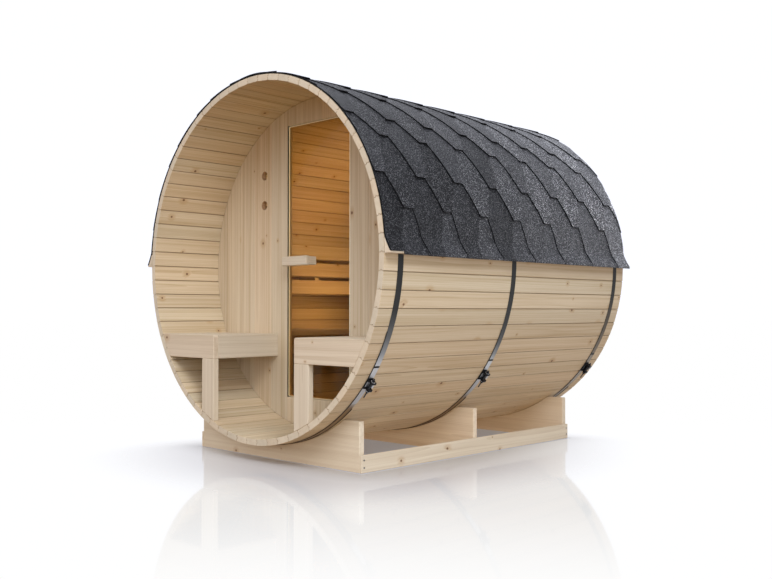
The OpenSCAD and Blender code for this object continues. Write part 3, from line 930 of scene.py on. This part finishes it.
# ---------------------------------------------------------------- end walls
def wall_strip(B, x0, x1, z0, z1, y0, y1, board=None, vents=()):
    poly = clip_disc([(x0, z0), (x1, z0), (x1, z1), (x0, z1)], R_CLEAR)
    if poly is None:
        return
    board = board or rnd3()
    if not vents:
        xz_board(B, poly, y0, y1, "z", board=board, bev=0.0018, eased=0)
        return
    vx = VENT_X
    for half in (0, 1):
        a, b = (x0, vx) if half == 0 else (vx, x1)
        p = ccw(clip_disc([(a, z0), (b, z0), (b, z1), (a, z1)], R_CLEAR))
        # the edge at the vents' middle, walked in the outline's own direction
        n = len(p)
        k = [i for i in range(n) if abs(p[i][0] - vx) < 1e-7 and abs(p[(i + 1) % n][0] - vx) < 1e-7][0]
        pts = []
        order = vents if half == 0 else vents[::-1]
        for zv in order:
            for i in range(0, 25):
                t = math.pi * i / 24
                if half == 0:
                    ang = -math.pi / 2 - t
                else:
                    ang = math.pi / 2 - t
                pts.append((vx + VENT_R * math.cos(ang), zv + VENT_R * math.sin(ang)))
        for q in (0, 24, 25, 49):
            pts[q] = (vx, pts[q][1])
        p = np.concatenate([p[:k + 1], np.array(pts), p[k + 1:]])
        cx = (x0 + x1) / 2
        ym = (y0 + y1) / 2
        n = len(p)
        near = [min(math.hypot(q[0] - vx, q[1] - zv) for zv in vents) < VENT_R + 0.0004 for q in p]
        # faces lining the vent holes take the dark vent material, painted shade
        lining = [1 if near[i] and near[(i + 1) % n] and abs(p[i][0] + p[(i + 1) % n][0] - 2 * vx) > 1e-6 else 0 for i in range(n)]
        prism(B, p, y0, y1, lambda u, v, w: (u, w, v), lambda u, v, w: (v, u - cx, w - ym), board, bev=0.0018, fixed_u=vx, side=lining)


def wall_pieces(name, cuts, z0, z1, y0, y1, nodes, vent=None):
    B = Build()
    for a, b in zip(cuts[:-1], cuts[1:]):
        v = VENT_Z if vent is not None and a < vent < b else ()
        wall_strip(B, a + 0.0001, b - 0.0001, z0, z1, y0, y1, vents=v)
    return B.done(name, [M_WALL, M_VENT_SHADE] if vent is not None else M_WALL, nodes=nodes)


wall_pieces("boards_front_left", [-1.0705, -0.955, -0.799, -0.647, -0.464, DOOR_X0], 0.0, 2.5, WALL_Y0, WALL_Y1, ("front_wall_left",), vent=VENT_X)
wall_pieces("boards_front_right", [DOOR_X1, 0.470, 0.640, 0.802, 0.955, 1.0705], 0.0, 2.5, WALL_Y0, WALL_Y1, ("front_wall_right",))
wall_pieces("boards_front_head", [DOOR_X0, -0.126, 0.040, 0.190, DOOR_X1], DOOR_Z1, 2.5, WALL_Y0, WALL_Y1, ("front_wall_head",))
wall_pieces("boards_front_sill", [DOOR_X0, -0.126, 0.040, 0.190, DOOR_X1], 0.0, DOOR_Z0, WALL_Y0, WALL_Y1, ("front_wall_sill",))
wall_pieces("boards_rear", [-1.0705] + [-0.9775 + 0.163 * i for i in range(13)] + [1.0705], 0.0, 2.5, REAR_Y0, REAR_Y1, ("rear_wall",))

# door stops and the black seal in the gap
B = Build()
sy0, sy1 = GLASS_Y1 + 0.005, GLASS_Y1 + 0.019
lap = 0.0115
for x0, x1 in ((DOOR_X0, DOOR_X0 + lap), (DOOR_X1 - lap, DOOR_X1)):
    bar(B, (x0, sy0, DOOR_Z0), (x1, sy1, DOOR_Z1), 2, bev=0.0014)
for z0 in (DOOR_Z0, DOOR_Z1 - lap):
    bar(B, (DOOR_X0 + lap + 0.0004, sy0, z0), (DOOR_X1 - lap - 0.0004, sy1, z0 + lap), 0, bev=0.0014)
B.done("visual_door_stops", M_FRAME, nodes=("door_stops",))
B = Build()
# black lip seal in the gap on the handle side
bar(B, (DOOR_X0 + 0.0002, -0.6775, DOOR_Z0 + 0.001), (DOOR_X0 + 0.0024, sy0 - 0.0002, DOOR_Z1 - 0.001), 2, bev=0.0006)
B.done("door_seal", M_SEAL_AND_SHADOW)

# ---------------------------------------------------------------- porch benches
BX, BZ, RAIL_H, RAIL_T = 0.389, 0.751, 0.149, 0.038
for s, nm in ((1, "right"), (-1, "left")):
    def mir(p):
        return [(s * x, z) for x, z in p]

    B = Build()
    # the rounded corner runs from the top to the inner side
    front = [(BX, BZ - RAIL_H), (1.2, BZ - RAIL_H), (1.2, BZ)] + [
        (BX + 0.014 - 0.014 * math.sin(t), BZ - 0.014 + 0.014 * math.cos(t)) for t in np.linspace(0, math.pi / 2, 7)]
    xz_board(B, mir(clip_disc(front, R_CLEAR)), -HL, -HL + RAIL_T, "x", bev=0.0030, eased=0.0025)
    bar(B, (min(s * BX, s * (BX + RAIL_T)), -1.1616, BZ - RAIL_H), (max(s * BX, s * (BX + RAIL_T)), -0.6804, BZ), 1, bev=0.0030)
    B.done("bench_rails_" + nm, M_FRAME, nodes=("porch_%s_rails" % nm,))

    B = Build()
    post = clip_disc([(BX, 0.05), (BX + 0.125, 0.05), (BX + 0.125, 0.6016), (BX, 0.6016)], R_CLEAR)
    xz_board(B, mir(post), -HL, -HL + 0.040, "z", bev=0.0028, eased=0.0025)
    B.done("bench_post_" + nm, M_FRAME, nodes=("porch_%s_post" % nm,))

    B = Build()
    for i in range(4):
        y0 = -1.1616 + i * 0.1218
        seat = clip_disc([(BX + RAIL_T + 0.0004, BZ - 0.028), (1.2, BZ - 0.028), (1.2, BZ), (BX + RAIL_T + 0.0004, BZ)], R_CLEAR)
        # the grain's across runs over the board's width, which lies along y
        p = ease(mir(seat), 0.0022)
        yc, zc = y0 + 0.0579, BZ - 0.014
        prism(B, p, y0, y0 + 0.1158, lambda u, v, w: (u, w, v), lambda u, v, w: (u, w - yc, v - zc), rnd3(), bev=0.0026)
    B.done("bench_seat_" + nm, M_FRAME, nodes=("porch_%s_seat" % nm,))

# ---------------------------------------------------------------- inner bench and backrest
IN0, IN1 = -0.6416, 1.0816
FRAME_Y = (IN0 + 0.060, (IN0 + IN1) / 2 - 0.022, IN1 - 0.105)
B = Build()
for i in range(4):
    x0 = -0.390 - 0.120 - i * 0.130
    p = clip_disc([(x0, 0.735), (x0 + 0.120, 0.735), (x0 + 0.120, 0.770), (x0, 0.770)], R_CLEAR)
    p = ease(p, 0.0030)
    xc = x0 + 0.06
    prism(B, p, IN0, IN1, lambda u, v, w: (u, w, v), lambda u, v, w: (w, u - xc, v - 0.7525), rnd3(), bev=0.002)
B.done("inner_seat_boards", M_FRAME, nodes=("inner_bench_seat",))
B = Build()
for y in FRAME_Y:
    xz_board(B, clip_disc([(-1.0, 0.6446), (-0.402, 0.6446), (-0.402, 0.7346), (-1.0, 0.7346)], R_CLEAR), y, y + 0.045, "x")
    xz_board(B, clip_disc([(-0.462, 0.100), (-0.402, 0.100), (-0.402, 0.6442), (-0.462, 0.6442)], R_CLEAR), y, y + 0.045, "z")
B.done("inner_bench_bearers", M_FRAME, nodes=("inner_bench_frame",))

LEAN = math.radians(16.6)


def leaned(x, y, z):
    x, y, z = np.asarray(x, float), np.asarray(y, float), np.asarray(z, float)
    return -0.82 + x * math.cos(LEAN) - z * math.sin(LEAN), y, 1.031 + x * math.sin(LEAN) + z * math.cos(LEAN)


B = Build()
for i in range(3):
    bar(B, (-0.025, IN0 + 0.020, i * 0.140), (0.0, IN1 - 0.020, i * 0.140 + 0.110), 1, bev=0.0035, turn=leaned)
B.done("backrest_boards", M_FRAME, nodes=("backrest_slats",))
B = Build()
for y in (IN0 + 0.060, 0.080, IN1 - 0.105):
    p0, p1 = [leaned(-0.0254, 0.0, z) for z in (0.045, 0.360)]
    quad = [(float(p0[0]), float(p0[2])), (float(p1[0]), float(p1[2])), (-1.1, float(p1[2])), (-1.1, float(p0[2]))]
    xz_board(B, clip_disc(quad, R_CLEAR), y, y + 0.045, "z")
B.done("backrest_brackets", M_FRAME, nodes=("backrest_posts",))

# ---------------------------------------------------------------- door
B = Build()
gx0, gx1, gz0, gz1 = DOOR_X0 + 0.0075, DOOR_X1 - 0.0075, DOOR_Z0 + 0.0075, DOOR_Z1 - 0.0075
prism(B, ease([(gx0, gz0), (gx1, gz0), (gx1, gz1), (gx0, gz1)], 0.003), GLASS_Y0, GLASS_Y1,
      lambda u, v, w: (u, w, v), lambda u, v, w: (v, u, w), (0.5, 0.5, 0.5), bev=0.0010, mat=1, cap=0)
B.done("door_pane", [M_GLASS, M_RIM_GLOW], body="door", nodes=("door_glass",))

B = Build()
hy = GLASS_Y0
bar(B, (-0.254, hy - 0.087, 1.195), (-0.011, hy - 0.055, 1.257), 0, bev=0.0055)
for x in (-0.254, -0.041):
    bar(B, (x, hy - 0.0555, 1.1990), (x + 0.030, hy, 1.2530), 1, bev=0.0020)
B.done("door_grip", M_FRAME, body="door", nodes=("door_handle",))

for nm in ("door_hinge_leaves", "door_hinge_arms"):
    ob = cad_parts[nm]
    ob.data.materials.clear()
    ob.data.materials.append(M_HINGE)
    bv = ob.modifiers.new("edges", "BEVEL")
    bv.width = 0.0007
    bv.segments = 2
    bv.limit_method = "ANGLE"
    bv.angle_limit = math.radians(40)
B = Build()
for z in (0.645, 2.085):
    for dz in (-0.025, 0.0, 0.025):
        screw(B, (0.350, -0.683, z + dz), (0, -1, 0), r=0.0046)
B.done("hinge_screws", M_SCREW, smooth=35)
B = Build()
for z in (0.645, 2.085):
    for dz in (-0.015, 0.015):
        screw(B, (0.268, GLASS_Y0 - 0.004, z + dz), (0, -1, 0), r=0.0052)
B.done("hinge_glass_screws", M_SCREW, body="door", smooth=35)

# ---------------------------------------------------------------- floor, world and light
fm = Nodes("studio_floor")
fx, fy, fz = fm.split(fm.new("NewGeometry").outputs["Position"])
# the polish of the floor dies away in front of the base
ahead = fm.math("SUBTRACT", fm.math("MULTIPLY", fx, 0.697), fm.math("MULTIPLY", fy, 0.717))
gloss = fm.math("MULTIPLY", fm.span(ahead, 3.75, 1.85, 0.0, 0.24, smooth=True), fm.span(ahead, -1.1, -0.5, 0.0, 1.0, smooth=True))
# distance from the base; the pale sweep beyond it is lit to white
dx = fm.math("MAXIMUM", fm.math("SUBTRACT", fm.math("ABSOLUTE", fx), 0.763), 0.0)
dy = fm.math("MAXIMUM", fm.math("SUBTRACT", fm.math("ABSOLUTE", fy), 1.024), 0.0)
dist = fm.math("SQRT", fm.math("ADD", fm.math("MULTIPLY", dx, dx), fm.math("MULTIPLY", dy, dy)))
# round the base the floor is a grey diffuse zone that takes real shadows and is painted darker as painted shade,
# reaching further in front; beyond it the floor glows white
front = fm.span(ahead, -0.7, 1.5, -0.28, 0.48, smooth=True)
shade_reach = fm.math("SUBTRACT", dist, front)
tone = fm.span(shade_reach, -0.25, 0.60, smooth=True)
df = fm.new("BsdfDiffuse")
# under the base the floor is painted pale blue as painted light, and it is darkest along the base as a painted contact
# shadow
floor_shade_col = fm.mix(fm.span(dist, 0.0, 0.02), (0.62, 0.76, 1.0), (0.595, 0.58, 0.555))
floor_shade_col = fm.vec("SCALE", floor_shade_col, fm.span(fm.math("ABSOLUTE", fm.math("SUBTRACT", dist, 0.004)), 0.0, 0.26, 0.74, 1.0))
fm.put(df.inputs["Color"], floor_shade_col)
sweep = fm.new("Emission")
white = fm.new("MixShader")
# the floor under the base also glows faintly, painted light
fm.put(white.inputs[0], fm.math("MAXIMUM", fm.math("MULTIPLY", tone, fm.span(dist, 0.0, 0.03)), fm.span(dist, 0.03, 0.0, 0.0, 0.15)))
fm.t.links.new(df.outputs[0], white.inputs[1])
fm.t.links.new(sweep.outputs[0], white.inputs[2])
gs = fm.new("BsdfGlossy")
gs.inputs["Roughness"].default_value = 0.05
gs.inputs["Color"].default_value = (1.0, 1.0, 1.0, 1.0)
fmix = fm.new("MixShader")
fm.put(fmix.inputs[0], gloss)
fm.t.links.new(white.outputs[0], fmix.inputs[1])
fm.t.links.new(gs.outputs[0], fmix.inputs[2])
fm.t.links.new(fmix.outputs[0], fm.out.inputs["Surface"])
me = bpy.data.meshes.new("studio_floor")
S = 90.0
me.from_pydata([(-S, -S, 0), (S, -S, 0), (S, S, 0), (-S, S, 0)], [], [(0, 1, 2, 3)])
me.materials.append(fm.mat)
floor = bpy.data.objects.new("studio_floor", me)
scene.collection.objects.link(floor)
floor.visible_diffuse = False

world = bpy.data.worlds.new("studio")
scene.world = world
world.use_nodes = True
wt = world.node_tree
bg = wt.nodes["Background"]
bg.inputs["Strength"].default_value = 1.0


def wnode(op, a, b=0.0, c=None, clamp=False):
    n = wt.nodes.new("ShaderNodeMath")
    n.operation = op
    n.use_clamp = clamp
    for i, v in enumerate((a, b, c)):
        if v is None:
            continue
        if isinstance(v, bpy.types.NodeSocket):
            wt.links.new(v, n.inputs[i])
        else:
            n.inputs[i].default_value = v
    return n.outputs[0]


# white dome; under the horizon it is dim and warm in front and brighter on the right, as bounce from the floor
tc = wt.nodes.new("ShaderNodeTexCoord")
sp = wt.nodes.new("ShaderNodeSeparateXYZ")
wt.links.new(tc.outputs["Generated"], sp.inputs[0])
wx, wy, wz = sp.outputs[0], sp.outputs[1], sp.outputs[2]
facing = wnode("MULTIPLY_ADD", wnode("MULTIPLY_ADD", wy, -2.0, 0.0, clamp=True), -0.6, 1.1)
up = wnode("MULTIPLY_ADD", wz, 6.0, facing, clamp=True)
right = wnode("MULTIPLY_ADD", wx, 1.6, 0.05, clamp=True)
back = wnode("MAXIMUM", wnode("MULTIPLY_ADD", wy, 1.5, 0.85, clamp=True), 0.95)
side = wnode("MULTIPLY", right, back)
rest = wnode("SUBTRACT", 1.0, up)
# the floor close in front sends back the colour of the wood
steep = wnode("MULTIPLY", wnode("MULTIPLY_ADD", wz, -2.6, -0.5, clamp=True), wnode("MULTIPLY_ADD", wy, -2.0, 0.0, clamp=True))
dim = wnode("MULTIPLY", wnode("MULTIPLY_ADD", wx, 1.8, -0.15, clamp=True), wnode("MULTIPLY_ADD", wy, 1.6, 0.75, clamp=True))
up = wnode("MULTIPLY", up, wnode("MULTIPLY_ADD", dim, -0.74, 1.0))
tint = wt.nodes.new("ShaderNodeCombineXYZ")
for i, (front, gain, sky) in enumerate(((0.26, 0.43, 1.0), (0.105, 0.57, 1.02), (0.0, 0.74, 1.12))):
    low = wnode("MULTIPLY_ADD", wnode("MULTIPLY", side, wnode("MULTIPLY_ADD", steep, -0.47 * i, 1.0)), gain, front)
    wt.links.new(wnode("MULTIPLY_ADD", up, sky, wnode("MULTIPLY", low, rest)), tint.inputs[i])
wt.links.new(tint.outputs[0], bg.inputs["Color"])


def area(name, at, to, size, power, color=(1, 1, 1), size_y=None, spread=180.0):
    ld = bpy.data.lights.new(name, "AREA")
    ld.energy = power
    ld.color = color
    ld.size = size
    ld.spread = math.radians(spread)
    if size_y:
        ld.shape = "RECTANGLE"
        ld.size_y = size_y
    ob = bpy.data.objects.new(name, ld)
    ob.location = at
    from mathutils import Vector
    ob.rotation_euler = (Vector(to) - Vector(at)).to_track_quat("-Z", "Y").to_euler()
    ob.visible_camera = False
    ob.visible_glossy = False
    scene.collection.objects.link(ob)
    return ob


area("key", (5.1, -4.0, 5.8), (0.0, -0.6, 1.0), 3.0, 304.0, (1.0, 1.03, 1.16))
# low fill from the right, which reaches under the barrel and into the porch
area("low_right", (5.2, -3.9, 1.4), (0.0, -0.6, 0.35), 3.0, 5.2, (1.0, 1.03, 1.14), size_y=1.0, spread=50.0)
# warm lamp in the cabin, aimed at its left side
area("cabin_lamp", (0.12, 0.30, 1.42), (-0.90, 0.00, 1.65), 0.5, 4.5, (1.0, 0.74, 0.42), size_y=0.3, spread=130.0)
# light that the pale floor sends back between the cradles
for y in (-0.95, 0.055):
    area("bay_lamp", (0.52, y, 0.12), (0.46, y + 0.95, 0.17), 0.40, 0.17, (1.0, 0.90, 0.72), size_y=0.06, spread=100.0)
# and a small one for the wall above the bench
area("bench_lamp", (-0.25, 0.35, 0.98), (-1.0, 0.10, 0.86), 0.3, 0.36, (1.0, 0.74, 0.42), size_y=0.15, spread=75.0)

scene.view_settings.view_transform = "Standard"
scene.view_settings.look = "None"
scene.view_settings.exposure = 0.0
scene.view_settings.gamma = 1.0
